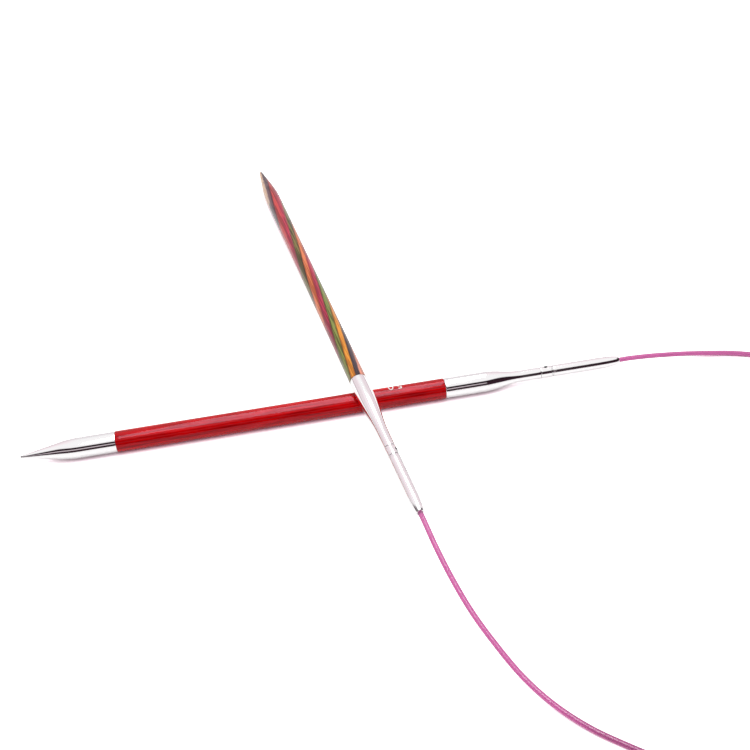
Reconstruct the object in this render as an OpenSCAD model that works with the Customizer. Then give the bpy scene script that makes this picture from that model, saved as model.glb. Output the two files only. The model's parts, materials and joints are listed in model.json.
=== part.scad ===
// Circular knitting needle: two unlike screw-on tips joined by one nylon cable.
// A red wooden tip with a metal point lies along X on the table, and a tip of
// striped laminated wood lies across it. Each cable end has a swivelling screw.

/* [Red tip] */
// Needle size, the diameter of the red tip
red_d = 5; // [4.5:0.25:8]
// Length of the metal point
red_point_l = 22.3; // [18:0.1:30]
// Length of the taper on the metal point
red_taper_l = 11.5; // [8:0.5:16]
// Radius of the blunt end of the metal point
red_end_r = 0.35; // [0.25:0.05:0.8]
// Length of the red wood between the metal pieces
red_wood_l = 78.7; // [60:0.1:110]
// Straight length of the red tip's ferrule, from the wood
red_ferrule_straight = 10; // [6:0.5:12]
// Length over which the red tip's ferrule draws in
red_ferrule_draw = 9; // [5:0.5:10]

/* [Striped tip] */
// Needle size, the diameter of the striped tip
striped_d = 4.25; // [4:0.25:8]
// Length of the taper on the striped wood
striped_taper_l = 15; // [8:0.5:20]
// Radius of the blunt end of the striped wood
striped_end_r = 0.5; // [0.3:0.05:0.9]
// Length of the striped wood outside its ferrule
striped_wood_l = 101; // [80:0.5:130]
// Straight length of the striped tip's ferrule, from the wood
striped_ferrule_straight = 6; // [3:0.5:9]
// Length over which the striped tip's ferrule draws in
striped_ferrule_draw = 13; // [8:0.5:14]
// Thickness of one dyed veneer
ply_t = 1.19; // [1:0.01:1.5]
// Slant of the veneers to the tip's axis, in degrees
ply_slant = 5.68; // [4:0.01:8]
// Turn of the veneers about the tip's axis, in degrees
ply_turn = 0; // [-45:1:45]

/* [Ferrules] */
// Length of each metal ferrule
ferrule_l = 24; // [22:0.5:30]
// Width of the eased edge where a ferrule meets the wood
rim_ease = 0.6; // [0.55:0.05:1]
// Depth of the eased edge
rim_depth = 0.1; // [0.05:0.05:0.15]
// Depth of the sockets that hold the wood
socket_depth = 8; // [5:0.5:9]
// Wall of the sockets that hold the wood
socket_wall = 0.65; // [0.5:0.05:0.8]

/* [Connectors] */
// Diameter of the collars, the sleeves and the ferrule mouths
connector_d = 2.8; // [2.7:0.05:3.2]
// Length of the turning collar
collar_l = 2.8; // [2.5:0.1:4]
// Diameter of the hole for the tightening key
key_hole_d = 0.9; // [0.6:0.05:1]
// Distance of the key hole from the ferrule's mouth
key_hole_at = 1.4; // [0.9:0.05:1.5]
// Length of the cable sleeve
sleeve_l = 16.85; // [15:0.05:22]
// Length of the sleeve's nose
nose_l = 5.5; // [4:0.5:8]
// Diameter of the nose's small end
nose_d = 1.6; // [1.5:0.05:2]
// Turn of the red side's key hole back from upright, in degrees
red_key_turn = 20; // [0:1:90]
// Turn of the striped side's key hole from upright, in degrees
striped_key_turn = 56; // [0:1:90]

/* [Screw] */
// Outer diameter of the screw thread
thread_d = 1.94; // [1.9:0.02:2]
// Pitch of the screw thread
pitch = 0.4; // [0.4:0.05:0.5]
// Number of thread turns
turns = 8; // [6:1:9]
// Radial room between the two threads
thread_room = 0.1; // [0.09:0.01:0.11]

/* [Cable] */
// Diameter of the nylon cable
cable_d = 1.2; // [1:0.05:1.4]
// Length of cable held in each sleeve
cable_grip = 9; // [6:0.5:10]

/* [Lay on the table] */
// Angle between the two tips, seen from above
cross_angle = 82.5; // [80:0.5:85]
// Distance of the crossing from the end of the red side's sleeve
cross_red = 64; // [62:0.5:66]
// Distance of the crossing from the end of the striped side's sleeve
cross_striped = 41.2; // [40:0.1:42]
// Room between the two tips where they cross
cross_room = 0.05; // [0.02:0.01:0.3]

/* [Hidden] */
$fn = 64;

// Room in running fits, beside flanges and in glue joints
run_room = 0.05;
end_room = 0.05;
glue_room = 0.03;

// Swivel inside each sleeve
flange_t = 0.25;
flange_d = connector_d - 0.2;
journal_d = 1.2;
bush_d = 2;
bush_l = 3;
ring_d = 1.8;
ring_t = 0.8;
ring_room = 0.01;
sleeve_bore_d = bush_d + 2 * run_room;
sleeve_bore_l = bush_l + ring_t + 1;
sleeve_front = -(collar_l + flange_t + 2 * end_room);
sleeve_back = sleeve_front - sleeve_l;
rib_d = bush_d - 0.2;
rib_front = sleeve_front - 1.3;
rib_back = rib_front - 0.4;
groove_d = rib_d - 2 * run_room;
bush_front = -(collar_l + end_room);
bush_back = sleeve_front - bush_l;
ring_front = bush_back - end_room;
ring_back = ring_front - ring_t;

// Thread radii
thread_depth = 0.19;
thread_l = turns * pitch;
thread_sides = 16;
rings_per_turn = 5;
thread_sink = 0.3;
thread_run_out = 0.3;
mouth_ease = 0.3;
screw_crest_r = thread_d / 2;
screw_root_r = screw_crest_r - thread_depth;

// Tip lengths along the needle, from the ferrule's mouth
tip_l = red_point_l + red_wood_l + ferrule_l;
striped_l = striped_wood_l + ferrule_l;
connector_l = -sleeve_back;

// Red axis: along X, resting on the table; the lay starts from where the cable leaves the sleeves
red_r = red_d / 2;
red_axis_y = -31;
red_sleeve_end_x = 72.5;
red_mouth = [red_sleeve_end_x - connector_l, red_axis_y, red_r];

// Striped axis: its shoulder rests on the table and its ferrule on the red wood
striped_r = striped_d / 2;
lean_run = striped_l + connector_l - cross_striped - striped_taper_l;
lean_rise = red_d + cross_room;
striped_dip = asin(lean_rise / lean_run);
striped_heading = 180 - cross_angle;
striped_toward_point = [
    cos(striped_heading) * cos(striped_dip),
    sin(striped_heading) * cos(striped_dip),
    -sin(striped_dip)
];
crossing = [
    red_sleeve_end_x - cross_red,
    red_axis_y,
    red_d + (striped_r + cross_room) / cos(striped_dip)
];
striped_mouth = crossing - striped_toward_point * (cross_striped - connector_l);

// Veneers from the point to the ferrule; the first glue line meets the axis just past the point
first_joint_at = -0.4;
ply_reach = 160;
ply_colors = [
    "peachpuff", "dimgray", "indianred", "crimson", "olivedrab", "coral",
    "mediumvioletred", "yellowgreen", "darkorange", "darkslateblue", "salmon"
];
last_ply = len(ply_colors) - 1;

// Cable route from the red sleeve round to the striped sleeve, lying on the table
route_points = [
    [80, -31, 2.2], [84.5, -31.05, 1.75], [90, -31.4, 1.3], [95.5, -32.1, 0.95],
    [101, -33.1, 0.72], [106, -34.7, 0.65], [113, -37.6, 0.65], [121, -42.3, 0.65],
    [129.2, -49.4, 0.65], [136.2, -58.6, 0.65], [141.4, -69.6, 0.65], [144.3, -81.8, 0.65],
    [144.5, -94.6, 0.65], [142, -107.2, 0.65], [137, -118.9, 0.65], [129.7, -128.8, 0.65],
    [120.3, -136.7, 0.65], [109.4, -142.1, 0.65], [97.6, -144.8, 0.65], [85.5, -144.8, 0.65],
    [73.8, -142.6, 0.65], [63, -138.7, 0.65], [54.2, -134.3, 0.65], [47, -129.7, 0.65],
    [41, -125.3, 0.65], [35.4, -120.7, 0.75], [30.2, -115, 1.1], [25.8, -108.6, 2.1],
    [21.9, -101.2, 4.1], [19, -94.6, 6], [16.75, -87.7, 8], [15.2, -81, 9.3]
];
cable_r = cable_d / 2;
cable_sides = 8;
rings_per_span = 2;
cable_lead = 3;
cable_bore_d = cable_d + 0.04;

// Places: along a tip's axis, +Z runs from the ferrule's mouth to the point and -X is up

module on_red_axis() {
    translate(red_mouth) rotate([0, 90, 180]) children();
}

module on_striped_axis() {
    translate(striped_mouth) rotate([0, 90 + striped_dip, striped_heading]) children();
}

// Blunt taper and straight stretch of a tip, as half an outline from its base to its end
function dome(end_r, top) = [for (a = [0 : 15 : 90]) [end_r * cos(a), top - end_r + end_r * sin(a)]];
function taper_outline(base, top, full_r, taper_l, end_r) =
    concat([[full_r, base], [full_r, top - taper_l]], dome(end_r, top));

// Smooth draw from radius a to radius b over a length, in eight steps
function drawn(a, b, from, length) =
    [for (i = [0 : 8]) let (t = i / 8) [a + (b - a) * t * t * (3 - 2 * t), from - length * t]];

module turned(outline) {
    rotate_extrude() polygon(outline);
}

// Thread form: depth of the groove at a turn and a height, one right-hand start
function ridge(phase) = min(1, max(0, 1.5 - 4 * abs(phase - 0.5)));
function part_of(x) = x - floor(x);
function thread_r(root, deep, angle, z, fade) =
    root + deep * fade * ridge(part_of(z / pitch - angle / 360));

// Closed thread body between two heights, fading out at the ends that ask for it
module thread_body(root, low, high, fade_low, fade_high) {
    count = round((high - low) / pitch * rings_per_turn);
    heights = [for (i = [0 : count]) low + (high - low) * i / count];
    turn = 360 / thread_sides;
    fade = function (z) min(
        fade_low ? min(1, max(0, (z - low) / thread_run_out)) : 1,
        fade_high ? min(1, max(0, (high - z) / thread_run_out)) : 1
    );
    points = [
        for (z = heights, s = [0 : thread_sides - 1])
            let (r = thread_r(root, thread_depth, s * turn, z, fade(z)))
                [r * cos(s * turn), r * sin(s * turn), z]
    ];
    polyhedron(points, tube_faces(count + 1, thread_sides));
}

// Faces of a capped tube whose rings follow each other in the list of points
function tube_faces(rings, sides) = concat(
    [for (i = [0 : rings - 2], s = [0 : sides - 1])
        let (t = (s + 1) % sides)
            [i * sides + s, (i + 1) * sides + s, (i + 1) * sides + t]],
    [for (i = [0 : rings - 2], s = [0 : sides - 1])
        let (t = (s + 1) % sides)
            [i * sides + s, (i + 1) * sides + t, i * sides + t]],
    [[for (s = [0 : sides - 1]) s]],
    [[for (s = [sides - 1 : -1 : 0]) (rings - 1) * sides + s]]
);

// Socket or tenon of a wooden joint
function tenon_r(full_d) = full_d / 2 - socket_wall - glue_room;

module tenon(full_d, from, length) {
    translate([0, 0, from]) cylinder(r = tenon_r(full_d), h = length);
}

module socket(full_d, from, length) {
    translate([0, 0, from]) cylinder(r = tenon_r(full_d) + glue_room, h = length);
}

// Metal ferrule: straight by the wood, drawn in to the connector, threaded at its mouth
module ferrule(full_d, straight, draw) {
    full_r = full_d / 2;
    draw_top = ferrule_l - straight;
    outline = concat(
        [[0, ferrule_l], [full_r - rim_depth, ferrule_l], [full_r, ferrule_l - rim_ease]],
        drawn(full_r, connector_d / 2, draw_top, draw),
        [[connector_d / 2, 0], [0, 0]]
    );
    difference() {
        turned(outline);
        socket(full_d, ferrule_l - socket_depth, socket_depth + 1);
        thread_body(screw_root_r + thread_room, -thread_sink, thread_l + pitch, false, true);
        translate([0, 0, -thread_sink])
            cylinder(r = screw_crest_r + thread_room, h = thread_sink + mouth_ease);
    }
}

// Turning screw: thread, collar with its key hole, and the journal that runs in the bush
module swivel_screw(key_turn) {
    journal_l = -ring_back - collar_l;
    difference() {
        union() {
            translate([0, 0, -collar_l]) cylinder(d = connector_d, h = collar_l - end_room);
            thread_body(screw_root_r, -thread_sink, thread_l, true, true);
            translate([0, 0, ring_back]) cylinder(d = journal_d, h = journal_l + thread_sink);
        }
        rotate([0, 0, key_turn])
            translate([0, 0, -key_hole_at])
                rotate([0, 90, 0])
                    cylinder(d = key_hole_d, h = 2 * connector_d, center = true);
    }
}

// Flanged bush that turns in the sleeve, grooved for the sleeve's rib; its flange shows as a fine line
module swivel_bush() {
    flange_back = bush_front - flange_t;
    groove_back = rib_back - end_room;
    groove_front = rib_front + end_room;
    difference() {
        union() {
            translate([0, 0, flange_back]) cylinder(d = flange_d, h = flange_t);
            translate([0, 0, bush_back]) cylinder(d = groove_d, h = bush_front - bush_back);
            translate([0, 0, bush_back]) cylinder(d = bush_d, h = groove_back - bush_back);
            translate([0, 0, groove_front]) cylinder(d = bush_d, h = bush_front - groove_front);
        }
        translate([0, 0, bush_back - 1])
            cylinder(d = journal_d + 2 * run_room, h = bush_front - bush_back + 2);
    }
}

// Ring staked on the end of the journal behind the bush
module retaining_ring() {
    translate([0, 0, ring_back])
        difference() {
            cylinder(d = ring_d, h = ring_t);
            translate([0, 0, -1]) cylinder(d = journal_d + 2 * ring_room, h = ring_t + 2);
        }
}

// Bore for the swivel, with the rib that is rolled into the bush's groove
module swivel_bore() {
    bore_back = sleeve_front - sleeve_bore_l;
    translate([0, 0, bore_back]) cylinder(d = rib_d, h = sleeve_bore_l);
    translate([0, 0, bore_back]) cylinder(d = sleeve_bore_d, h = rib_back - bore_back);
    translate([0, 0, rib_front]) cylinder(d = sleeve_bore_d, h = sleeve_front - rib_front + 1);
}

// Sleeve on the cable end, with the swivel's bore in front and the cable's behind
module sleeve() {
    nose_top = sleeve_back + nose_l;
    outline = concat(
        [[0, sleeve_front], [connector_d / 2, sleeve_front]],
        [for (i = [0 : 6]) let (t = i / 6)
            [connector_d / 2 - (connector_d - nose_d) / 2 * (1 - cos(90 * t)), nose_top - nose_l * sin(90 * t)]],
        [[0, sleeve_back]]
    );
    difference() {
        turned(outline);
        swivel_bore();
        translate([0, 0, sleeve_back - 1]) cylinder(d = cable_bore_d, h = cable_grip + 1.2);
    }
}

// Red tip

module red_point() {
    base = tip_l - red_point_l;
    color("gainsboro") on_red_axis() difference() {
        turned(concat([[0, base]], taper_outline(base, tip_l, red_r, red_taper_l, red_end_r)));
        socket(red_d, base - 1, socket_depth + 1);
    }
}

module red_wood() {
    tenon_l = socket_depth - 0.5;
    color("firebrick") on_red_axis() {
        translate([0, 0, ferrule_l]) cylinder(d = red_d, h = red_wood_l);
        tenon(red_d, ferrule_l - tenon_l, red_wood_l + 2 * tenon_l);
    }
}

module red_ferrule() {
    color("gainsboro") on_red_axis() ferrule(red_d, red_ferrule_straight, red_ferrule_draw);
}

module red_screw() {
    color("silver") on_red_axis() swivel_screw(180 + red_key_turn);
}

module red_swivel_bush() {
    color("silver") on_red_axis() swivel_bush();
}

module red_retaining_ring() {
    color("goldenrod") on_red_axis() retaining_ring();
}

module red_sleeve() {
    color("gainsboro") on_red_axis() sleeve();
}

// Striped tip: a blank glued up from slanted veneers and turned to size

module striped_blank() {
    tenon_l = socket_depth - 0.5;
    turned(concat(
        [[0, ferrule_l]],
        taper_outline(ferrule_l, striped_l, striped_r, striped_taper_l, striped_end_r)
    ));
    tenon(striped_d, ferrule_l - tenon_l, tenon_l + 1);
}

// Slab that keeps one veneer, numbered from the point; the outer two are open outwards
module ply_slab(index) {
    low = index == 0 ? -ply_reach : (index - 1) * ply_t;
    high = index == last_ply ? ply_reach : index * ply_t;
    rotate([0, 0, ply_turn])
        translate([0, 0, striped_l - first_joint_at])
            rotate([90 + ply_slant, 0, 0])
                translate([-ply_reach / 2, -ply_reach, low])
                    cube([ply_reach, 2 * ply_reach, high - low]);
}

module veneer(index) {
    color(ply_colors[index]) on_striped_axis() intersection() {
        striped_blank();
        ply_slab(index);
    }
}

module striped_ferrule() {
    color("whitesmoke") on_striped_axis()
        ferrule(striped_d, striped_ferrule_straight, striped_ferrule_draw);
}

module striped_screw() {
    color("silver") on_striped_axis() swivel_screw(180 + striped_key_turn);
}

module striped_swivel_bush() {
    color("silver") on_striped_axis() swivel_bush();
}

module striped_retaining_ring() {
    color("goldenrod") on_striped_axis() retaining_ring();
}

module striped_sleeve() {
    color("whitesmoke") on_striped_axis() sleeve();
}

// Cable: one tube along the route, running straight into both sleeves

function along_red(z) = red_mouth + [-z, 0, 0];
function along_striped(z) = striped_mouth + striped_toward_point * z;
function cable_route() = concat(
    [for (z = [cable_grip, cable_grip / 2, 0, -cable_lead]) along_red(sleeve_back + z)],
    route_points,
    [for (z = [-cable_lead, 0, cable_grip / 2, cable_grip]) along_striped(sleeve_back + z)]
);

// Point between two route points on the smooth curve through all of them
function curve_point(p, i, t) =
    let (
        a = p[max(0, i - 1)],
        b = p[i],
        c = p[i + 1],
        d = p[min(len(p) - 1, i + 2)]
    )
    0.5 * (2 * b + (c - a) * t + (2 * a - 5 * b + 4 * c - d) * t * t + (3 * b - 3 * c + d - a) * t * t * t);

function smooth_line(p, steps) = concat(
    [for (i = [0 : len(p) - 2], k = [0 : steps - 1]) curve_point(p, i, k / steps)],
    [p[len(p) - 1]]
);

function unit(v) = v / norm(v);

module cable() {
    line = smooth_line(cable_route(), rings_per_span);
    last = len(line) - 1;
    turn = 360 / cable_sides;
    points = [
        for (i = [0 : last])
            let (
                way = unit(line[min(last, i + 1)] - line[max(0, i - 1)]),
                side = unit(cross(way, [0, 0, 1])),
                up = cross(side, way)
            )
            for (s = [0 : cable_sides - 1])
                line[i] + cable_r * (side * cos((s + 0.5) * turn) - up * sin((s + 0.5) * turn))
    ];
    color("hotpink") polyhedron(points, tube_faces(last + 1, cable_sides));
}

red_point();
red_wood();
red_ferrule();
red_screw();
red_swivel_bush();
red_retaining_ring();
red_sleeve();
veneer(0);  // peach_ply
veneer(1);  // plum_ply
veneer(2);  // coral_ply
veneer(3);  // crimson_ply
veneer(4);  // olive_ply
veneer(5);  // apricot_ply
veneer(6);  // raspberry_ply
veneer(7);  // green_ply
veneer(8);  // orange_ply
veneer(9);  // navy_ply
veneer(10);  // salmon_ply
striped_ferrule();
striped_screw();
striped_swivel_bush();
striped_retaining_ring();
striped_sleeve();
cable();
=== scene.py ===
import json
import math

import bmesh
import bpy
from mathutils import Matrix, Vector


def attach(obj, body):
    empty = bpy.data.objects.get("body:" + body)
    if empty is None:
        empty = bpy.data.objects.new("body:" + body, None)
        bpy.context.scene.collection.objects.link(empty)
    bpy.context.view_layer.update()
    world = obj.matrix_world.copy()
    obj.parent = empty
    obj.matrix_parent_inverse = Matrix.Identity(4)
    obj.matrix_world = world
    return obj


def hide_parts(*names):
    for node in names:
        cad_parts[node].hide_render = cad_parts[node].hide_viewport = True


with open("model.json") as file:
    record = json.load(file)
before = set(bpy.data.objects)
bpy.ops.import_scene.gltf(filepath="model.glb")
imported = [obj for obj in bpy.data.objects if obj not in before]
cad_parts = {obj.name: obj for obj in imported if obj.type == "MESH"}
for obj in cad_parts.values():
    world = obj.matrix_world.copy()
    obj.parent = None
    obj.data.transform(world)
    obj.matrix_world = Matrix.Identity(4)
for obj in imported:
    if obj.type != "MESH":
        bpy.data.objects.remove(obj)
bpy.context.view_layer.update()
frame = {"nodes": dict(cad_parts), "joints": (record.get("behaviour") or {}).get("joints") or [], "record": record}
mm = 0.001  # sizes below are in millimetres, Blender's are in metres


# Small helpers

def linear(hexColour):
    # A colour as it looks on screen, in the linear values that shaders take
    channels = [int(hexColour[i:i + 2], 16) / 255 for i in (0, 2, 4)]
    spread = [c / 12.92 if c <= 0.04045 else ((c + 0.055) / 1.055) ** 2.4 for c in channels]
    return (*spread, 1.0)


def addNode(tree, kind, settings=None, inputs=None):
    node = tree.nodes.new(kind)
    for name, value in (settings or {}).items():
        setattr(node, name, value)
    for socket, value in (inputs or {}).items():
        if isinstance(value, bpy.types.NodeSocket):
            tree.links.new(value, node.inputs[socket])
        else:
            node.inputs[socket].default_value = value
    return node


def maths(tree, operation, one, other=0):
    return addNode(tree, "ShaderNodeMath", {"operation": operation}, {0: one, 1: other}).outputs[0]


def vectorMaths(tree, operation, one, other=(0, 0, 0)):
    return addNode(tree, "ShaderNodeVectorMath", {"operation": operation}, {0: one, 1: other}).outputs


def remap(tree, value, source, target=(0, 1), **settings):
    return addNode(tree, "ShaderNodeMapRange", settings, {
        "Value": value,
        "From Min": source[0], "From Max": source[1],
        "To Min": target[0], "To Max": target[1],
    }).outputs[0]


def mixColours(tree, factor, one, other, **settings):
    # The node's colours are its inputs 6 and 7 and its output 2
    return addNode(tree, "ShaderNodeMix", {"data_type": "RGBA", **settings}, {
        "Factor": factor, 6: one, 7: other,
    }).outputs[2]


def noise(tree, space, detail, roughness=0.5, scale=1):
    return addNode(tree, "ShaderNodeTexNoise", inputs={
        "Vector": space, "Scale": scale, "Detail": detail, "Roughness": roughness,
    }).outputs[0]


def addObject(name, data):
    obj = bpy.data.objects.new(name, data)
    bpy.context.scene.collection.objects.link(obj)
    return obj


def madeMesh(obj):
    depsgraph = bpy.context.evaluated_depsgraph_get()
    return bpy.data.meshes.new_from_object(obj.evaluated_get(depsgraph))


def applyModifiers(obj):
    mesh = madeMesh(obj)
    obj.modifiers.clear()
    obj.data = mesh


def joinMesh(obj, mesh):
    both = bmesh.new()
    both.from_mesh(obj.data)
    both.from_mesh(mesh)
    both.to_mesh(obj.data)
    both.free()


# Each tip's own frame: Z runs along the needle from the ferrule's mouth to the point

def sideFrame(side):
    swivel = next(j for j in frame["joints"] if j["name"] == side + "_swivel")
    toPoint = -Vector(swivel["axis"]).normalized()
    level = Vector((-toPoint.y, toPoint.x, 0)).normalized()
    axes = Matrix((level.cross(toPoint), level, toPoint)).transposed()
    return Matrix.Translation(swivel["pos_m"]) @ axes.to_4x4()


sides = {side: sideFrame(side) for side in ("red", "striped")}


def reach(node, side):
    # Where a node starts and ends along the needle, and its largest radius
    back = sides[side].inverted()
    points = [back @ v.co / mm for v in frame["nodes"][node].data.vertices]
    along = [p.z for p in points]
    return min(along), max(along), max(math.hypot(p.x, p.y) for p in points)


# Camera, fitted to the two tips in the photograph

camera = {
    "place": (-13.835, -207.52, 190.83),
    "yaw": 8.275,
    "pitch": 45.26,
    "roll": -3.206,
    "lens": 51.78,
    "nearest": 10,
}


def makeCamera(spec):
    yaw, pitch, roll = (math.radians(spec[k]) for k in ("yaw", "pitch", "roll"))
    ahead = Vector((
        math.sin(yaw) * math.cos(pitch),
        math.cos(yaw) * math.cos(pitch),
        -math.sin(pitch),
    ))
    level = Vector((math.cos(yaw), -math.sin(yaw), 0))
    right = level * math.cos(roll) + level.cross(ahead) * math.sin(roll)
    axes = Matrix((right, right.cross(ahead), -ahead)).transposed()
    data = bpy.data.cameras.new("photoCamera")
    data.lens = spec["lens"]
    data.clip_start = spec["nearest"] * mm
    obj = addObject("photoCamera", data)
    obj.matrix_world = Matrix.Translation(Vector(spec["place"]) * mm) @ axes.to_4x4()
    bpy.context.scene.camera = obj


makeCamera(camera)
print("camera placed")


# Materials

def newMaterial(name):
    material = bpy.data.materials.new(name)
    material.use_nodes = True
    material.node_tree.nodes.clear()
    return material, material.node_tree


def closeMaterial(tree, shader):
    addNode(tree, "ShaderNodeOutputMaterial", inputs={"Surface": shader.outputs[0]})


def objectSpace(tree):
    return addNode(tree, "ShaderNodeTexCoord").outputs["Object"]


def grainSpace(tree, side, grain):
    # Object coordinates in the tip's own frame, counted in grain sizes across and along it
    place, rotation, _ = sides[side].decompose()
    across, along = grain
    return addNode(tree, "ShaderNodeMapping", {"vector_type": "TEXTURE"}, {
        "Vector": objectSpace(tree),
        "Location": place,
        "Rotation": rotation.to_euler(),
        "Scale": (across * mm, across * mm, along * mm),
    }).outputs[0]


def relief(tree, height, strength, depth):
    return addNode(tree, "ShaderNodeBump", inputs={
        "Height": height, "Strength": strength, "Distance": depth * mm,
    }).outputs[0]


# Polished nickel plate on turned metal: near mirror, with fine turning lines and faint smears, and shade painted
# dark into the key hole
nickel = {
    "colour": "f6f4f5",
    "roughness": (0.04, 0.11),
    "smear": (3, 6),  # size across and along the needle
    "smearMask": (0.35, 0.7),
    "lines": (40, 0.25),  # drawn coarser than real turning marks, so that they show
    "lineStrength": 0.3,
    "lineDepth": 0.002,
    "holeShade": "2e2a2c",  # painted shade: the dark colour of the key hole's inside, where shade falls in it
    "holeShadeRoughness": 0.6,
    "holeShadeWidth": 1.12,  # of the hole, with its eased lip
}


def keyHole(side):
    return next(m for m in frame["record"]["mounts"] if m["name"] == "key_hole_" + side)


def facing(axis):
    return Vector((0, 0, 1)).rotation_difference(Vector(axis))


def holeShadeMask(tree, side):
    # 1 inside the key hole and on its eased lip, where shade is painted dark, 0 elsewhere
    hole = keyHole(side)
    width = hole["dims"]["r_mm"] * nickel["holeShadeWidth"] * mm
    inHole = addNode(tree, "ShaderNodeMapping", {"vector_type": "TEXTURE"}, {
        "Vector": objectSpace(tree),
        "Location": hole["pos_m"],
        "Rotation": facing(hole["axis"]).to_euler(),
        "Scale": (width, width, 1),
    })
    flat = vectorMaths(tree, "MULTIPLY", inHole.outputs[0], (1, 1, 0))["Vector"]
    away = vectorMaths(tree, "LENGTH", flat)["Value"]
    return maths(tree, "LESS_THAN", away, 1)


def nickelPlate(side):
    material, tree = newMaterial("nickelPlate_" + side)
    bore = holeShadeMask(tree, side)
    lines = noise(tree, grainSpace(tree, side, nickel["lines"]), detail=2)
    smear = noise(tree, grainSpace(tree, side, nickel["smear"]), detail=4)
    polish = remap(tree, smear, nickel["smearMask"], nickel["roughness"])
    rough = addNode(tree, "ShaderNodeMix", inputs={0: bore, 2: polish, 3: nickel["holeShadeRoughness"]})
    shader = addNode(tree, "ShaderNodeBsdfPrincipled", inputs={
        # painted shade: the key hole and its lip are coloured dark and made dull
        "Base Color": mixColours(tree, bore, linear(nickel["colour"]), linear(nickel["holeShade"])),
        "Metallic": 1,
        "Roughness": rough.outputs[0],
        "Normal": relief(tree, lines, nickel["lineStrength"], nickel["lineDepth"]),
    })
    closeMaterial(tree, shader)
    return material


# Turned brass of the retaining rings: warm, a little dull, with tool marks round it
brass = {"colour": "d8b36a", "dull": "b08a45", "roughness": 0.28, "marks": (20, 0.12)}


def turnedBrass(side):
    material, tree = newMaterial("turnedBrass_" + side)
    marks = noise(tree, grainSpace(tree, side, brass["marks"]), detail=2)
    shader = addNode(tree, "ShaderNodeBsdfPrincipled", inputs={
        "Base Color": mixColours(tree, marks, linear(brass["colour"]), linear(brass["dull"])),
        "Metallic": 1,
        "Roughness": brass["roughness"],
    })
    closeMaterial(tree, shader)
    return material


# Stained birch under gloss lacquer: red streaked along the grain, below a clear shine
# that is strongest at the edges
lacquer = {
    "deep": "a20205",
    "bright": "e20508",
    "pore": "860205",
    "shine": "ffe3fe",  # tint of what it mirrors
    "grain": (0.45, 9),  # size across and along the needle, as for the pores
    "streakMask": (0.36, 0.64),
    "pores": (0.12, 2.5),
    "poreMask": (0.62, 0.72),
    "poreStrength": 0.6,
    "grainStrength": 0.35,
    "grainDepth": 0.006,
}


def lacqueredWood():
    material, tree = newMaterial("lacqueredBirch")
    grain = noise(tree, grainSpace(tree, "red", lacquer["grain"]), detail=4, roughness=0.6)
    pores = noise(tree, grainSpace(tree, "red", lacquer["pores"]), detail=2)
    streakMask = remap(tree, grain, lacquer["streakMask"])
    poreMask = remap(tree, pores, lacquer["poreMask"], (0, lacquer["poreStrength"]))
    stain = mixColours(tree, streakMask, linear(lacquer["deep"]), linear(lacquer["bright"]))
    shader = addNode(tree, "ShaderNodeBsdfPrincipled", inputs={
        "Base Color": mixColours(tree, poreMask, stain, linear(lacquer["pore"])),
        "Roughness": 0.05,
        "IOR": 1.5,
        "Specular IOR Level": 0.26,
        "Specular Tint": linear(lacquer["shine"]),
        "Normal": relief(tree, grain, lacquer["grainStrength"], lacquer["grainDepth"]),
    })
    closeMaterial(tree, shader)
    return material


# Dyed birch veneers, glued in a slanted stack: each colour is streaked along the grain
# and stained by the glue at its faces, and a waxy sheen pales the wood's outline
laminate = {
    "plyThickness": 1.19,
    "slant": 5.68,  # of the veneers to the needle's axis, in degrees
    "pastPoint": 0.4,  # where the first glue line meets the axis, beyond the point
    "sawGap": 0.0001,  # corners nearer than this to a cut lie on it
    "core": (0.26, 0.74),  # stretch of a veneer's thickness that has its own colour
    "waver": 0.26,  # how far the glue stain wanders, in veneer thicknesses
    "grain": (0.8, 16),
    "streakMask": (0.5, 0.6),
    "streakStrength": 0.75,
    "pores": (0.34, 9),
    "poreMask": (0.52, 0.58),
    "poreStrength": 0.85,
    "grainStrength": 0.4,
    "grainDepth": 0.006,
    "plies": {
        "peach_ply": {"main": "f0c8a6", "streak": "d9a27c", "from": "f6d2b2", "to": "e0b498"},
        "plum_ply": {"main": "76525a", "streak": "38262e", "from": "dcb8a4", "to": "4c1420"},
        "coral_ply": {"main": "dc4a4a", "streak": "8a2024", "from": "62141f", "to": "d4505a"},
        "crimson_ply": {"main": "d23a54", "streak": "8a1832", "from": "cc424e", "to": "b85c6c"},
        "olive_ply": {"main": "887840", "streak": "3a2c0c", "from": "86603e", "to": "341e04"},
        "apricot_ply": {"main": "f6885a", "streak": "b0501e", "from": "643004", "to": "b4202e"},
        "raspberry_ply": {"main": "c63252", "streak": "841430", "from": "a8142c", "to": "5a2014"},
        "green_ply": {"main": "929a4a", "streak": "4c4a10", "from": "524418", "to": "443200"},
        "orange_ply": {"main": "fba236", "streak": "b8640c", "from": "8c5000", "to": "744010"},
        "navy_ply": {"main": "54404a", "streak": "241e2a", "from": "38282a", "to": "f09a80"},
        "salmon_ply": {"main": "ffa68a", "streak": "c87458", "from": "ffa488", "to": "f49880"},
    },
}


def stackPlane():
    # Normal of the veneers, and where the first glue line meets the needle's axis
    slant = math.radians(laminate["slant"])
    normal = Vector((0, -math.cos(slant), -math.sin(slant)))
    woodEnd = reach("plum_ply", "striped")[1]
    origin = Vector((0, 0, woodEnd + laminate["pastPoint"]))
    return sides["striped"].to_3x3() @ normal, sides["striped"] @ (origin * mm)


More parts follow.
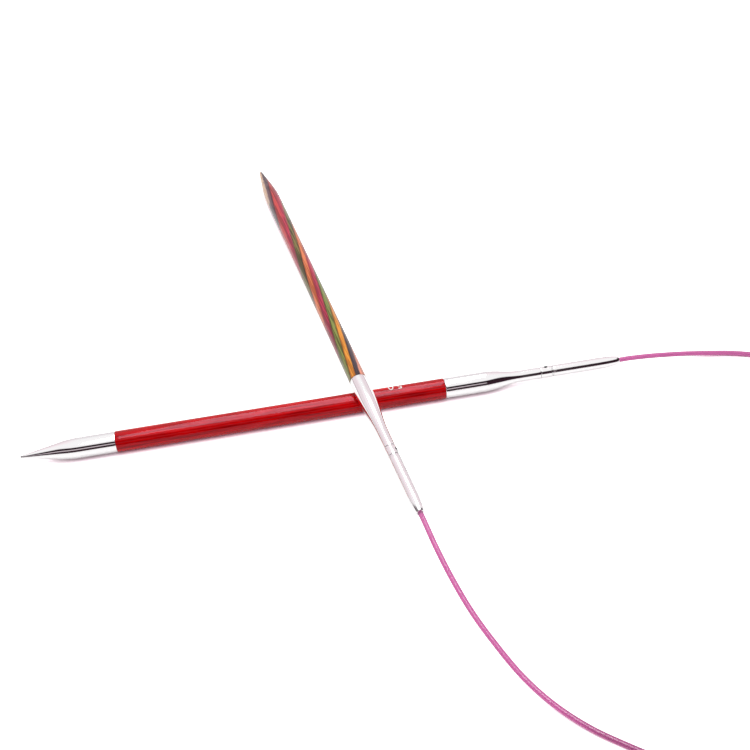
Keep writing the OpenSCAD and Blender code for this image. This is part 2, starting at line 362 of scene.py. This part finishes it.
def dyedVeneer(index, name, colours):
    material, tree = newMaterial("dyedVeneer_" + name.replace("_ply", ""))
    normal, start = stackPlane()
    fromStart = vectorMaths(tree, "SUBTRACT", objectSpace(tree), start)["Vector"]
    countPlies = normal / (laminate["plyThickness"] * mm)
    depth = vectorMaths(tree, "DOT_PRODUCT", fromStart, countPlies)["Value"]
    grain = noise(tree, grainSpace(tree, "striped", laminate["grain"]), detail=1)
    pores = noise(tree, grainSpace(tree, "striped", laminate["pores"]), detail=2)
    shift = 1 - index  # the ramp below covers this veneer alone
    wander = (shift - laminate["waver"], shift + laminate["waver"])
    across = maths(tree, "ADD", depth, remap(tree, grain, (0, 1), wander, clamp=False))
    stain = addNode(tree, "ShaderNodeValToRGB", inputs={0: across})
    stain.color_ramp.interpolation = "EASE"
    stops = stain.color_ramp.elements
    stops[0].color = linear(colours["from"])
    stops[1].color = linear(colours["to"])
    for position in laminate["core"]:
        stops.new(position).color = linear(colours["main"])
    streakMask = remap(tree, grain, laminate["streakMask"], (0, laminate["streakStrength"]))
    poreMask = remap(tree, pores, laminate["poreMask"], (0, laminate["poreStrength"]))
    dark = maths(tree, "MAXIMUM", streakMask, poreMask)
    shader = addNode(tree, "ShaderNodeBsdfPrincipled", inputs={
        "Base Color": mixColours(tree, dark, stain.outputs[0], linear(colours["streak"])),
        "Roughness": 0.42,
        "IOR": 1.5,
        "Specular IOR Level": 0.1,
        "Coat Weight": 0.2,
        "Coat Roughness": 0.08,
        "Sheen Weight": 1,
        "Sheen Roughness": 0.4,
        "Normal": relief(tree, grain, laminate["grainStrength"], laminate["grainDepth"]),
    })
    closeMaterial(tree, shader)
    return material


# Drawn nylon monofilament, dyed pink: half clear, deepest in colour along its middle
nylon = {
    "colour": "de7ab8",
    "depth": "cc77b6",
    "density": 600,  # of the dye, for each metre of light path
    "roughness": (0.01, 0.11),
    "cloud": 1.5,
}


def pinkNylon():
    material, tree = newMaterial("drawnNylon")
    cloud = noise(tree, objectSpace(tree), detail=2, scale=1 / (nylon["cloud"] * mm))
    shader = addNode(tree, "ShaderNodeBsdfPrincipled", inputs={
        "Base Color": linear(nylon["colour"]),
        "Roughness": remap(tree, cloud, (0, 1), nylon["roughness"]),
        "IOR": 1.53,
        "Transmission Weight": 0.55,
    })
    dye = addNode(tree, "ShaderNodeVolumeAbsorption", inputs={
        "Color": linear(nylon["depth"]), "Density": nylon["density"],
    })
    addNode(tree, "ShaderNodeOutputMaterial", inputs={
        "Surface": shader.outputs[0], "Volume": dye.outputs[0],
    })
    return material


# White pad-print ink: a thin matt film, a little starved here and there
ink = {"colour": "f4f2ef", "thin": "d8b4b2", "patch": 0.25, "thinMask": (0.55, 0.75), "roughness": 0.5}


def printInk():
    material, tree = newMaterial("padPrintInk")
    patches = noise(tree, objectSpace(tree), detail=2, scale=1 / (ink["patch"] * mm))
    starved = remap(tree, patches, ink["thinMask"])
    shader = addNode(tree, "ShaderNodeBsdfPrincipled", inputs={
        "Base Color": mixColours(tree, starved, linear(ink["colour"]), linear(ink["thin"])),
        "Roughness": ink["roughness"],
    })
    closeMaterial(tree, shader)
    return material


metal = {side: nickelPlate(side) for side in sides}
ringBrass = {side: turnedBrass(side) for side in sides}
redLacquer = lacqueredWood()
whiteInk = printInk()
nylonPink = pinkNylon()
print("materials made")


# Turned pieces: half an outline in millimetres, as (radius, distance along the needle, ease),
# spun about the needle's axis by a node tree

turning = {
    "sides": 96,
    "easeSteps": 6,
    "easeShare": 0.45,  # most that an ease takes of the stretch beside it
    "ringSpacing": 1.0,
    "seamGap": 0.0005,
    "sharpFrom": 35,  # degrees
}


def easedOutline(points, spacing):
    # Rounds the corners that have an ease, then splits long stretches
    rounded = []
    for i, (radius, along, *ease) in enumerate(points):
        corner = Vector((radius, along))
        if not ease:
            rounded.append(corner)
            continue
        before = Vector(points[i - 1][:2]) - corner
        after = Vector(points[i + 1][:2]) - corner
        start = corner + before.normalized() * min(ease[0], before.length * turning["easeShare"])
        end = corner + after.normalized() * min(ease[0], after.length * turning["easeShare"])
        for step in range(turning["easeSteps"] + 1):
            t = step / turning["easeSteps"]
            rounded.append(start * (1 - t) ** 2 + corner * 2 * t * (1 - t) + end * t ** 2)
    line = [rounded[0]]
    for knot in rounded[1:]:
        begin = line[-1]
        pieces = max(1, math.ceil((knot - begin).length / spacing))
        line += [begin.lerp(knot, (k + 1) / pieces) for k in range(pieces)]
    return line


def roundedTip(tip, radius, stepDegrees):
    # Outline of a ball end that closes on the axis
    angles = [math.radians(d) for d in range(stepDegrees, 90 + 1, stepDegrees)]
    return [(radius * math.cos(a), tip - radius + radius * math.sin(a)) for a in angles]


def newTree(name, sizes):
    tree = bpy.data.node_groups.new(name, "GeometryNodeTree")
    panel = tree.interface
    panel.new_socket("Geometry", in_out="INPUT", socket_type="NodeSocketGeometry")
    for label, kind in sizes.items():
        panel.new_socket(label, in_out="INPUT", socket_type="NodeSocket" + kind)
    panel.new_socket("Geometry", in_out="OUTPUT", socket_type="NodeSocketGeometry")
    return tree, addNode(tree, "NodeGroupInput").outputs


def closeTree(tree, geometry, material):
    real = addNode(tree, "GeometryNodeRealizeInstances", inputs={"Geometry": geometry})
    painted = addNode(tree, "GeometryNodeSetMaterial", inputs={
        "Geometry": real.outputs[0], "Material": material,
    })
    addNode(tree, "NodeGroupOutput", inputs={"Geometry": painted.outputs[0]})


def turningTree():
    tree, given = newTree("turnedPiece", {"Sides": "Int", "Seam Gap": "Float", "Material": "Material"})
    size = addNode(tree, "GeometryNodeAttributeDomainSize", inputs={"Geometry": given["Geometry"]})
    rows = size.outputs["Point Count"]
    skin = addNode(tree, "GeometryNodeMeshGrid", inputs={
        "Vertices X": maths(tree, "ADD", given["Sides"], 1), "Vertices Y": rows,
    })
    index = addNode(tree, "GeometryNodeInputIndex").outputs[0]
    row = maths(tree, "MODULO", index, rows)
    column = maths(tree, "FLOOR", maths(tree, "DIVIDE", index, rows))
    share = maths(tree, "DIVIDE", column, given["Sides"])
    outline = addNode(tree, "GeometryNodeSampleIndex", {"data_type": "FLOAT_VECTOR"}, {
        "Geometry": given["Geometry"],
        "Value": addNode(tree, "GeometryNodeInputPosition").outputs[0],
        "Index": row,
    })
    spun = addNode(tree, "ShaderNodeVectorRotate", {"rotation_type": "Z_AXIS"}, {
        "Vector": outline.outputs[0], "Angle": maths(tree, "MULTIPLY", share, 2 * math.pi),
    })
    wrapped = addNode(tree, "GeometryNodeSetPosition", inputs={
        "Geometry": skin.outputs["Mesh"], "Position": spun.outputs[0],
    })
    closed = addNode(tree, "GeometryNodeMergeByDistance", inputs={
        "Geometry": wrapped.outputs[0], "Distance": given["Seam Gap"],
    })
    smooth = addNode(tree, "GeometryNodeSetShadeSmooth", inputs={"Geometry": closed.outputs[0]})
    closeTree(tree, smooth.outputs[0], given["Material"])
    return tree


turnedPiece = turningTree()


def runTree(obj, tree, values):
    modifier = obj.modifiers.new(tree.name, "NODES")
    modifier.node_group = tree
    for socket in tree.interface.items_tree:
        if socket.in_out == "INPUT" and socket.name in values:
            modifier[socket.identifier] = values[socket.name]
    applyModifiers(obj)


def finishSurface(mesh):
    shape = bmesh.new()
    shape.from_mesh(mesh)
    bmesh.ops.recalc_face_normals(shape, faces=shape.faces)
    for face in shape.faces:
        face.smooth = True
    shape.to_mesh(mesh)
    shape.free()
    mesh.set_sharp_from_angle(angle=math.radians(turning["sharpFrom"]))


def turn(name, points, material, place, spacing=turning["ringSpacing"]):
    line = [(p.x * mm, 0, p.y * mm) for p in easedOutline(points, spacing)]
    outline = bpy.data.meshes.new(name)
    outline.from_pydata(line, [(i, i + 1) for i in range(len(line) - 1)], [])
    obj = addObject(name, outline)
    runTree(obj, turnedPiece, {
        "Sides": turning["sides"], "Seam Gap": turning["seamGap"] * mm, "Material": material,
    })
    obj.data.transform(place)
    finishSurface(obj.data)
    return obj


def install(obj, node):
    body = next(b for b, members in frame["record"]["behaviour"]["bodies"].items() if node in members)
    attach(obj, body)
    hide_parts(node)


# Screw threads: a ridge swept along a spiral, running out at both ends

thread = {
    "pitch": 0.4,
    "turns": 7,
    "rootRadius": 0.78,
    "depth": 0.19,
    "room": 0.1,
    "sink": 0.04,  # how far the ridge reaches into the metal that carries it
    "foot": 0.375,  # half widths of the ridge, in pitches
    "crest": 0.125,
    "runOut": 0.07,  # share of the length over which each end fades
    "endSize": 0.05,  # what is left of the ridge at its very ends
    "steps": 40,  # for each turn
}


def threadTree():
    tree, given = newTree("screwThread", {
        "Pitch": "Float", "Turns": "Float", "Radius": "Float", "Depth": "Float", "Material": "Material",
    })
    spiral = addNode(tree, "GeometryNodeCurveSpiral", inputs={
        "Resolution": thread["steps"],
        "Rotations": given["Turns"],
        "Start Radius": given["Radius"],
        "End Radius": given["Radius"],
        "Height": maths(tree, "MULTIPLY", given["Pitch"], given["Turns"]),
    })
    upright = addNode(tree, "GeometryNodeSetCurveNormal", {"mode": "Z_UP"}, {"Curve": spiral.outputs[0]})
    along = addNode(tree, "GeometryNodeSplineParameter").outputs["Factor"]
    fromEnd = maths(tree, "PINGPONG", along, 0.5)
    foot = maths(tree, "MULTIPLY", given["Pitch"], thread["foot"])
    crest = maths(tree, "MULTIPLY", given["Pitch"], thread["crest"])
    corners = [
        {"Y": maths(tree, "MULTIPLY", foot, -1)},
        {"X": given["Depth"], "Y": maths(tree, "MULTIPLY", crest, -1)},
        {"X": given["Depth"], "Y": crest},
        {"Y": foot},
    ]
    profile = addNode(tree, "GeometryNodeCurvePrimitiveQuadrilateral", {"mode": "POINTS"}, {
        "Point %d" % (i + 1): addNode(tree, "ShaderNodeCombineXYZ", inputs=corner).outputs[0]
        for i, corner in enumerate(corners)
    })
    ridge = addNode(tree, "GeometryNodeCurveToMesh", inputs={
        "Curve": upright.outputs[0],
        "Profile Curve": profile.outputs[0],
        "Scale": remap(tree, fromEnd, (0, thread["runOut"]), (thread["endSize"], 1)),
        "Fill Caps": True,
    })
    closeTree(tree, ridge.outputs[0], given["Material"])
    return tree


screwThread = threadTree()


def cutThread(obj, radius, depth, start, side):
    ridge = addObject("ridge", bpy.data.meshes.new("ridge"))
    runTree(ridge, screwThread, {
        "Pitch": thread["pitch"] * mm, "Turns": float(thread["turns"]),
        "Radius": radius * mm, "Depth": depth * mm, "Material": metal[side],
    })
    ridge.data.transform(sides[side] @ Matrix.Translation((0, 0, start * mm)))
    finishSurface(ridge.data)
    joinMesh(obj, ridge.data)
    bpy.data.objects.remove(ridge)


# How the metal holds the wood on both tips: a tenon in a socket
tenonJoint = {"socket": 8, "tenon": 7.5, "wall": 0.65, "room": 0.03}


# Metal point of the red tip, with a soft shoulder where its taper starts

point = {"taper": 11.5, "endRadius": 0.35, "endStep": 15, "shoulder": 2, "edge": 0.08}


def makePoint():
    base, tip, radius = reach("red_point", "red")
    bore = radius - tenonJoint["wall"]
    points = [
        (0, base + tenonJoint["socket"]),
        (bore, base + tenonJoint["socket"]),
        (bore, base),
        (radius, base, point["edge"]),
        (radius, tip - point["taper"], point["shoulder"]),
    ]
    points += roundedTip(tip, point["endRadius"], point["endStep"])
    obj = turn("redPoint", points, metal["red"], sides["red"])
    install(obj, "red_point")


# Needle size in millimetres, as a plain number printed round the red shaft near its ferrule

figure = {
    "text": "5.0",
    "size": 3.0,  # of the type, its numerals are 0.7 of it
    "start": 34,  # along the needle from the ferrule's mouth
    "baseline": -46,  # degrees round the shaft from its top towards the front
    "film": 0.02,
    "strip": 0.15,  # width of the strips that let it bend
    "weld": 0.00001,  # corners nearer than this become one
}


def printFigure(obj, radius):
    letters = bpy.data.curves.new("sizeFigure", "FONT")
    letters.body = figure["text"]
    letters.size = figure["size"]
    letters.extrude = figure["film"] / 2
    flat = addObject("sizeFigure", letters)
    film = bmesh.new()
    film.from_mesh(madeMesh(flat))
    bpy.data.objects.remove(flat)
    bmesh.ops.remove_doubles(film, verts=film.verts, dist=figure["weld"])
    top = max(v.co.y for v in film.verts)
    for strip in range(1, int(top / figure["strip"])):
        bmesh.ops.bisect_plane(
            film, geom=film.verts[:] + film.edges[:] + film.faces[:],
            plane_co=(0, strip * figure["strip"], 0), plane_no=(0, 1, 0),
        )
    for v in film.verts:
        turned = math.radians(figure["baseline"]) + v.co.y / radius
        out = radius + v.co.z
        v.co = (-out * math.cos(turned), out * math.sin(turned), figure["start"] + v.co.x)
    film.transform(sides["red"] @ Matrix.Scale(mm, 4))
    obj.data.materials.append(whiteInk)
    for face in film.faces:
        face.material_index = len(obj.data.materials) - 1
    mesh = bpy.data.meshes.new("sizeFigure")
    film.to_mesh(mesh)
    film.free()
    joinMesh(obj, mesh)


# Red shaft with a tenon at each end

shaft = {"edge": 0.1}


def makeShaft():
    _, top, radius = reach("red_wood", "red")
    low = reach("red_ferrule", "red")[1]
    high = reach("red_point", "red")[0]
    tenon = radius - tenonJoint["wall"] - tenonJoint["room"]
    points = [
        (0, low - tenonJoint["tenon"]),
        (tenon, low - tenonJoint["tenon"]),
        (tenon, low),
        (radius, low, shaft["edge"]),
        (radius, high, shaft["edge"]),
        (tenon, high),
        (tenon, top),
        (0, top),
    ]
    obj = turn("redShaft", points, redLacquer, sides["red"])
    printFigure(obj, radius)
    install(obj, "red_wood")


# Ferrules: straight by the wood, drawn in to the connector, threaded inside the mouth

ferrule = {
    "red": {"straight": 10, "draw": 9},
    "striped": {"straight": 6, "draw": 13},
    "rimEase": 0.5,
    "mouthEase": 0.12,
    "threadBore": 3.7,
    "drawSteps": 24,
}


def makeFerrule(side):
    low, high, radius = reach(side + "_ferrule", side)
    mouth = reach(side + "_sleeve", side)[2]
    bore = radius - tenonJoint["wall"]
    drawTop = high - ferrule[side]["straight"]
    threadRadius = thread["rootRadius"] + thread["room"] + thread["depth"]
    points = [
        (0, high - tenonJoint["socket"]),
        (bore, high - tenonJoint["socket"]),
        (bore, high),
        (radius, high, ferrule["rimEase"]),
    ]
    for step in range(ferrule["drawSteps"] + 1):
        t = step / ferrule["drawSteps"]
        drop = t * t * (3 - 2 * t)  # starts and ends level
        points.append((radius + (mouth - radius) * drop, drawTop - ferrule[side]["draw"] * t))
    points += [
        (mouth, low, ferrule["mouthEase"]),
        (threadRadius, low, ferrule["mouthEase"]),
        (threadRadius, ferrule["threadBore"]),
        (0, ferrule["threadBore"]),
    ]
    obj = turn(side + "Ferrule", points, metal[side], sides[side])
    cutThread(obj, threadRadius + thread["sink"], -thread["depth"] - thread["sink"], thread["pitch"], side)
    install(obj, side + "_ferrule")


# Turning screws: thread, collar with its key hole, journal

screw = {
    "collarEase": 0.12,
    "play": 0.05,  # between the collar and the pieces beside it
    "journal": 0.6,
    "journalEase": 0.05,
    "endEase": 0.15,
    "holeEase": 0.03,
    "drillPast": 1,  # how far the drill's flare reaches past the collar
    "ringSpacing": 0.15,
}


def drillKeyHole(obj, side):
    hole = keyHole(side)
    radius = hole["dims"]["r_mm"]
    half = hole["dims"]["length_mm"] / 2
    straight = half - 2 * screw["holeEase"]
    flare = radius + screw["holeEase"] + screw["drillPast"]
    end = half + screw["drillPast"]
    points = [(0, -end), (flare, -end), (radius, -straight), (radius, straight), (flare, end), (0, end)]
    place = Matrix.Translation(hole["pos_m"]) @ facing(hole["axis"]).to_matrix().to_4x4()
    drill = turn("drill", points, metal[side], place)
    bore = obj.modifiers.new("keyHole", "BOOLEAN")
    bore.solver = "EXACT"
    bore.object = drill
    applyModifiers(obj)
    bpy.data.objects.remove(drill)
    finishSurface(obj.data)


def makeScrew(side):
    low, high, radius = reach(side + "_screw", side)
    collarBack = reach(side + "_swivel_bush", side)[1] + screw["play"]
    collarFront = -screw["play"]
    root = thread["rootRadius"]
    points = [
        (0, low),
        (screw["journal"], low, screw["journalEase"]),
        (screw["journal"], collarBack),
        (radius, collarBack, screw["collarEase"]),
        (radius, collarFront, screw["collarEase"]),
        (root, collarFront),
        (root, high, screw["endEase"]),
        (0, high),
    ]
    obj = turn(side + "Screw", points, metal[side], sides[side], screw["ringSpacing"])
    drillKeyHole(obj, side)
    cutThread(obj, root - thread["sink"], thread["depth"] + thread["sink"], thread["pitch"] / 2, side)
    install(obj, side + "_screw")


# Sleeves on the cable ends, with a rounded nose

sleeve = {
    "nose": 5.5,
    "noseRadius": 0.8,
    "noseSteps": 20,
    "edge": 0.12,
    "cableBore": 0.62,
    "grip": 9.2,  # depth of the cable's bore
    "swivelBore": 1.05,
    "swivelDepth": 4.8,
}


def makeSleeve(side):
    back, front, radius = reach(side + "_sleeve", side)
    noseTop = back + sleeve["nose"]
    points = [
        (0, front - sleeve["swivelDepth"]),
        (sleeve["swivelBore"], front - sleeve["swivelDepth"]),
        (sleeve["swivelBore"], front),
        (radius, front, sleeve["edge"]),
    ]
    for step in range(sleeve["noseSteps"] + 1):
        t = math.pi / 2 * step / sleeve["noseSteps"]
        points.append((
            radius - (radius - sleeve["noseRadius"]) * (1 - math.cos(t)),
            noseTop - sleeve["nose"] * math.sin(t),
        ))
    points += [
        (sleeve["cableBore"], back),
        (sleeve["cableBore"], back + sleeve["grip"]),
        (0, back + sleeve["grip"]),
    ]
    obj = turn(side + "Sleeve", points, metal[side], sides[side])
    install(obj, side + "_sleeve")


makePoint()
makeShaft()
for side in sides:
    makeFerrule(side)
    makeScrew(side)
    makeSleeve(side)
    frame["nodes"][side + "_swivel_bush"].material_slots[0].material = metal[side]
    frame["nodes"][side + "_retaining_ring"].material_slots[0].material = ringBrass[side]
print("metal pieces and red shaft turned")


# Striped wood: one turned blank, sawn into its veneers

blank = {"taper": 13, "endRadius": 0.5, "endStep": 10, "shoulder": 4}


def makeBlank():
    low = reach("striped_ferrule", "striped")[1]
    tip = reach("plum_ply", "striped")[1]
    radius = reach("raspberry_ply", "striped")[2]
    tenon = radius - tenonJoint["wall"] - tenonJoint["room"]
    points = [
        (0, low - tenonJoint["tenon"]),
        (tenon, low - tenonJoint["tenon"]),
        (tenon, low),
        (radius, low),
        (radius, tip - blank["taper"], blank["shoulder"]),
    ]
    points += roundedTip(tip, blank["endRadius"], blank["endStep"])
    # the lacquer only stands in, each veneer gets its dye when it is sawn
    return turn("stripedBlank", points, redLacquer, sides["striped"])


def sawPlies(stock):
    normal, start = stackPlane()
    step = laminate["plyThickness"] * mm
    last = len(laminate["plies"]) - 1
    for index, (name, colours) in enumerate(laminate["plies"].items()):
        ply = bmesh.new()
        ply.from_mesh(stock.data)
        cuts = []
        if index > 0:
            cuts.append((index - 1, -1))
        if index < last:
            cuts.append((index, 1))
        for level, outward in cuts:
            bmesh.ops.bisect_plane(
                ply, geom=ply.verts[:] + ply.edges[:] + ply.faces[:], dist=laminate["sawGap"] * mm,
                plane_co=start + normal * step * level, plane_no=normal * outward, clear_outer=True,
            )
            rim = [e for e in ply.edges if e.is_boundary]
            bmesh.ops.holes_fill(ply, edges=rim)
        mesh = bpy.data.meshes.new(name)
        ply.to_mesh(mesh)
        ply.free()
        mesh.materials.clear()
        mesh.materials.append(dyedVeneer(index, name, colours))
        finishSurface(mesh)
        obj = addObject(name.replace("_ply", "Veneer"), mesh)
        install(obj, name)
    bpy.data.objects.remove(stock)


sawPlies(makeBlank())
print("striped wood sawn into %d veneers" % len(laminate["plies"]))


# Cable: one nylon filament along the route that the CAD solid takes

cable = {
    "diameter": 1.2,
    "held": 9,  # length inside each sleeve
    "lead": 3,  # straight length out of each sleeve
    "handle": 6,  # a knot's handles are this part of the way between its neighbours
    "route": [
        (80, -31, 2.2), (84.5, -31.05, 1.75), (90, -31.4, 1.3), (95.5, -32.1, 0.95),
        (101, -33.1, 0.72), (106, -34.7, 0.65), (113, -37.6, 0.65), (121, -42.3, 0.65),
        (129.2, -49.4, 0.65), (136.2, -58.6, 0.65), (141.4, -69.6, 0.65), (144.3, -81.8, 0.65),
        (144.5, -94.6, 0.65), (142, -107.2, 0.65), (137, -118.9, 0.65), (129.7, -128.8, 0.65),
        (120.3, -136.7, 0.65), (109.4, -142.1, 0.65), (97.6, -144.8, 0.65), (85.5, -144.8, 0.65),
        (73.8, -142.6, 0.65), (63, -138.7, 0.65), (54.2, -134.3, 0.65), (47, -129.7, 0.65),
        (41, -125.3, 0.65), (35.4, -120.7, 0.75), (30.2, -115, 1.1), (25.8, -108.6, 2.1),
        (21.9, -101.2, 4.1), (19, -94.6, 6), (16.75, -87.7, 8), (15.2, -81, 9.3),
    ],
}


def cableRoute():
    noses = {side: reach(side + "_sleeve", side)[0] for side in sides}
    held = (cable["held"], cable["held"] / 2, 0, -cable["lead"])
    out = [sides["red"] @ Vector((0, 0, (noses["red"] + z) * mm)) for z in held]
    back = [sides["striped"] @ Vector((0, 0, (noses["striped"] + z) * mm)) for z in reversed(held)]
    return out + [Vector(p) * mm for p in cable["route"]] + back


def makeCable():
    route = cableRoute()
    curve = bpy.data.curves.new("cable", "CURVE")
    curve.dimensions = "3D"
    curve.resolution_u = 10
    curve.bevel_depth = cable["diameter"] / 2 * mm
    curve.bevel_resolution = 6
    curve.use_fill_caps = True
    curve.materials.append(nylonPink)
    spline = curve.splines.new("BEZIER")
    spline.bezier_points.add(len(route) - 1)
    for i, (knot, place) in enumerate(zip(spline.bezier_points, route)):
        slope = (route[min(i + 1, len(route) - 1)] - route[max(i - 1, 0)]) / cable["handle"]
        knot.co = place
        knot.handle_left_type = knot.handle_right_type = "FREE"
        knot.handle_left = place - slope
        knot.handle_right = place + slope
    spline.use_smooth = True
    obj = addObject("nylonCable", curve)
    install(obj, "cable")


makeCable()
print("cable laid")


# Studio: a white floor, a soft light tent and one overhead softbox

studio = {
    "floor": "f4f4f3",
    "floorHalf": 4000,
    "floorRoughness": (0.48, 0.52),
    "floorSeen": 1.0,  # lifts the floor to white for the camera
    "floorMirrored": 0.25,  # and in mirror images
    "contact": 5,  # reach of the contact shadow in that lift
    # open sky at which the lift of red, green and blue starts and is full
    "contactFrom": (0.21, 0.25, 0.235),
    "contactTo": (0.54, 0.575, 0.555),
    "tent": 0.36,  # light of the tent on the object
    # the tent's open front and ends in mirror images, a pale bar in it, and the gap along
    # the foot of the cloth: (height, brightness), where 0 is level and 1 is overhead
    "opening": [(0.06, 1), (0.08, 0.04), (0.77, 0.02), (0.83, 1)],
    "bar": [(0.4, 0), (0.44, 0.6), (0.54, 0.6), (0.59, 0)],
    "foot": [(0.08, 0.45), (0.1, 0.86), (0.5, 0.88), (0.62, 1)],
    # where the front, the ends, the bar and the back corners start and are full,
    # by how far a direction points aside, to the right or to the back
    "frontBack": (-0.08, -0.22),
    "endsAside": (0.58, 0.68),
    "endsBack": (0.45, 0.3),
    "barRight": (0.25, 0.2),
    "cornersAside": (0.15, 0.35),
    "cornersBack": (0.4, 0.6),
    "blush": "fff5f8",  # of the cloth at the back corners
    "dusk": (1.25, 1.12),  # how much faster green and blue fade than red in the dark
    "softboxPlace": (30, 218, 873),
    "softboxSize": (380, 1080),
    "softboxPower": 6.4,
}


def makeFloor():
    material, tree = newMaterial("whiteBoard")
    speck = addNode(tree, "ShaderNodeTexNoise", inputs={"Scale": 4, "Detail": 2})
    matt = addNode(tree, "ShaderNodeBsdfPrincipled", inputs={
        "Base Color": linear(studio["floor"]),
        "Roughness": remap(tree, speck.outputs[0], (0, 1), studio["floorRoughness"]),
        "Specular IOR Level": 0.1,
    })
    ray = addNode(tree, "ShaderNodeLightPath").outputs
    lift = addNode(tree, "ShaderNodeMath", {"operation": "MULTIPLY_ADD"}, {
        0: maths(tree, "MAXIMUM", ray["Is Camera Ray"], ray["Is Transmission Ray"]),
        1: studio["floorSeen"],
        2: maths(tree, "MULTIPLY", ray["Is Glossy Ray"], studio["floorMirrored"]),
    })
    openSky = addNode(tree, "ShaderNodeAmbientOcclusion", {"samples": 8}, {
        "Distance": studio["contact"] * mm,
    })
    # inputs 6 to 8 are the vector form's value, start and end
    clear = addNode(tree, "ShaderNodeMapRange", {"data_type": "FLOAT_VECTOR"}, {
        6: openSky.outputs["AO"], 7: studio["contactFrom"], 8: studio["contactTo"],
    })
    glow = addNode(tree, "ShaderNodeEmission", inputs={
        "Color": clear.outputs["Vector"], "Strength": lift.outputs[0],
    })
    both = addNode(tree, "ShaderNodeAddShader", inputs={0: matt.outputs[0], 1: glow.outputs[0]})
    closeMaterial(tree, both)
    half = studio["floorHalf"] * mm
    corners = [(-half, -half, 0), (half, -half, 0), (half, half, 0), (-half, half, 0)]
    mesh = bpy.data.meshes.new("floor")
    mesh.from_pydata(corners, [], [(0, 1, 2, 3)])
    mesh.materials.append(material)
    addObject("floor", mesh)


def dusk(bright):
    return (bright, bright ** studio["dusk"][0], bright ** studio["dusk"][1], 1)


def bands(tree, value, heights):
    ramp = addNode(tree, "ShaderNodeValToRGB", inputs={0: value})
    stops = ramp.color_ramp.elements
    stops[0].color = dusk(heights[0][1])
    stops[1].color = dusk(heights[-1][1])
    for height, bright in heights:
        stops.new(height).color = dusk(bright)
    return ramp.outputs[0]


def makeTent():
    world = bpy.data.worlds.new("lightTent")
    bpy.context.scene.world = world
    world.use_nodes = True
    tree = world.node_tree
    tree.nodes.clear()
    direction = addNode(tree, "ShaderNodeTexCoord").outputs["Generated"]
    part = addNode(tree, "ShaderNodeSeparateXYZ", inputs={0: direction}).outputs
    towards = {"Aside": maths(tree, "ABSOLUTE", part["X"]), "Right": part["X"], "Back": part["Y"]}

    def share(area, way):
        return remap(tree, towards[way], studio[area + way], interpolation_type="SMOOTHSTEP")

    ends = maths(tree, "MULTIPLY", share("ends", "Aside"), share("ends", "Back"))
    gap = maths(tree, "MAXIMUM", share("front", "Back"), ends)
    bar = vectorMaths(tree, "MULTIPLY", bands(tree, part["Z"], studio["bar"]), share("bar", "Right"))
    opening = vectorMaths(tree, "MAXIMUM", bands(tree, part["Z"], studio["opening"]), bar["Vector"])
    corner = maths(tree, "MULTIPLY", share("corners", "Aside"), share("corners", "Back"))
    foot = bands(tree, part["Z"], studio["foot"])
    cloth = mixColours(tree, corner, foot, linear(studio["blush"]), blend_type="MULTIPLY")
    image = mixColours(tree, gap, cloth, opening["Vector"])
    ray = addNode(tree, "ShaderNodeLightPath").outputs
    mirrored = maths(tree, "MAXIMUM", ray["Is Glossy Ray"], ray["Is Transmission Ray"])
    seen = maths(tree, "MAXIMUM", mirrored, ray["Is Camera Ray"])
    light = addNode(tree, "ShaderNodeBackground", inputs={
        "Color": mixColours(tree, mirrored, (1, 1, 1, 1), image),
        "Strength": remap(tree, seen, (0, 1), (studio["tent"], 1)),
    })
    addNode(tree, "ShaderNodeOutputWorld", inputs={"Surface": light.outputs[0]})


def makeSoftbox():
    lamp = bpy.data.lights.new("softbox", "AREA")
    lamp.shape = "RECTANGLE"
    lamp.size, lamp.size_y = (size * mm for size in studio["softboxSize"])
    lamp.energy = studio["softboxPower"]
    obj = addObject("softbox", lamp)
    place = Vector(studio["softboxPlace"]) * mm
    obj.location = place
    obj.rotation_euler = (-place).to_track_quat("-Z", "Y").to_euler()


makeFloor()
makeTent()
makeSoftbox()
bpy.context.scene.view_settings.view_transform = "Standard"
print("studio set up")
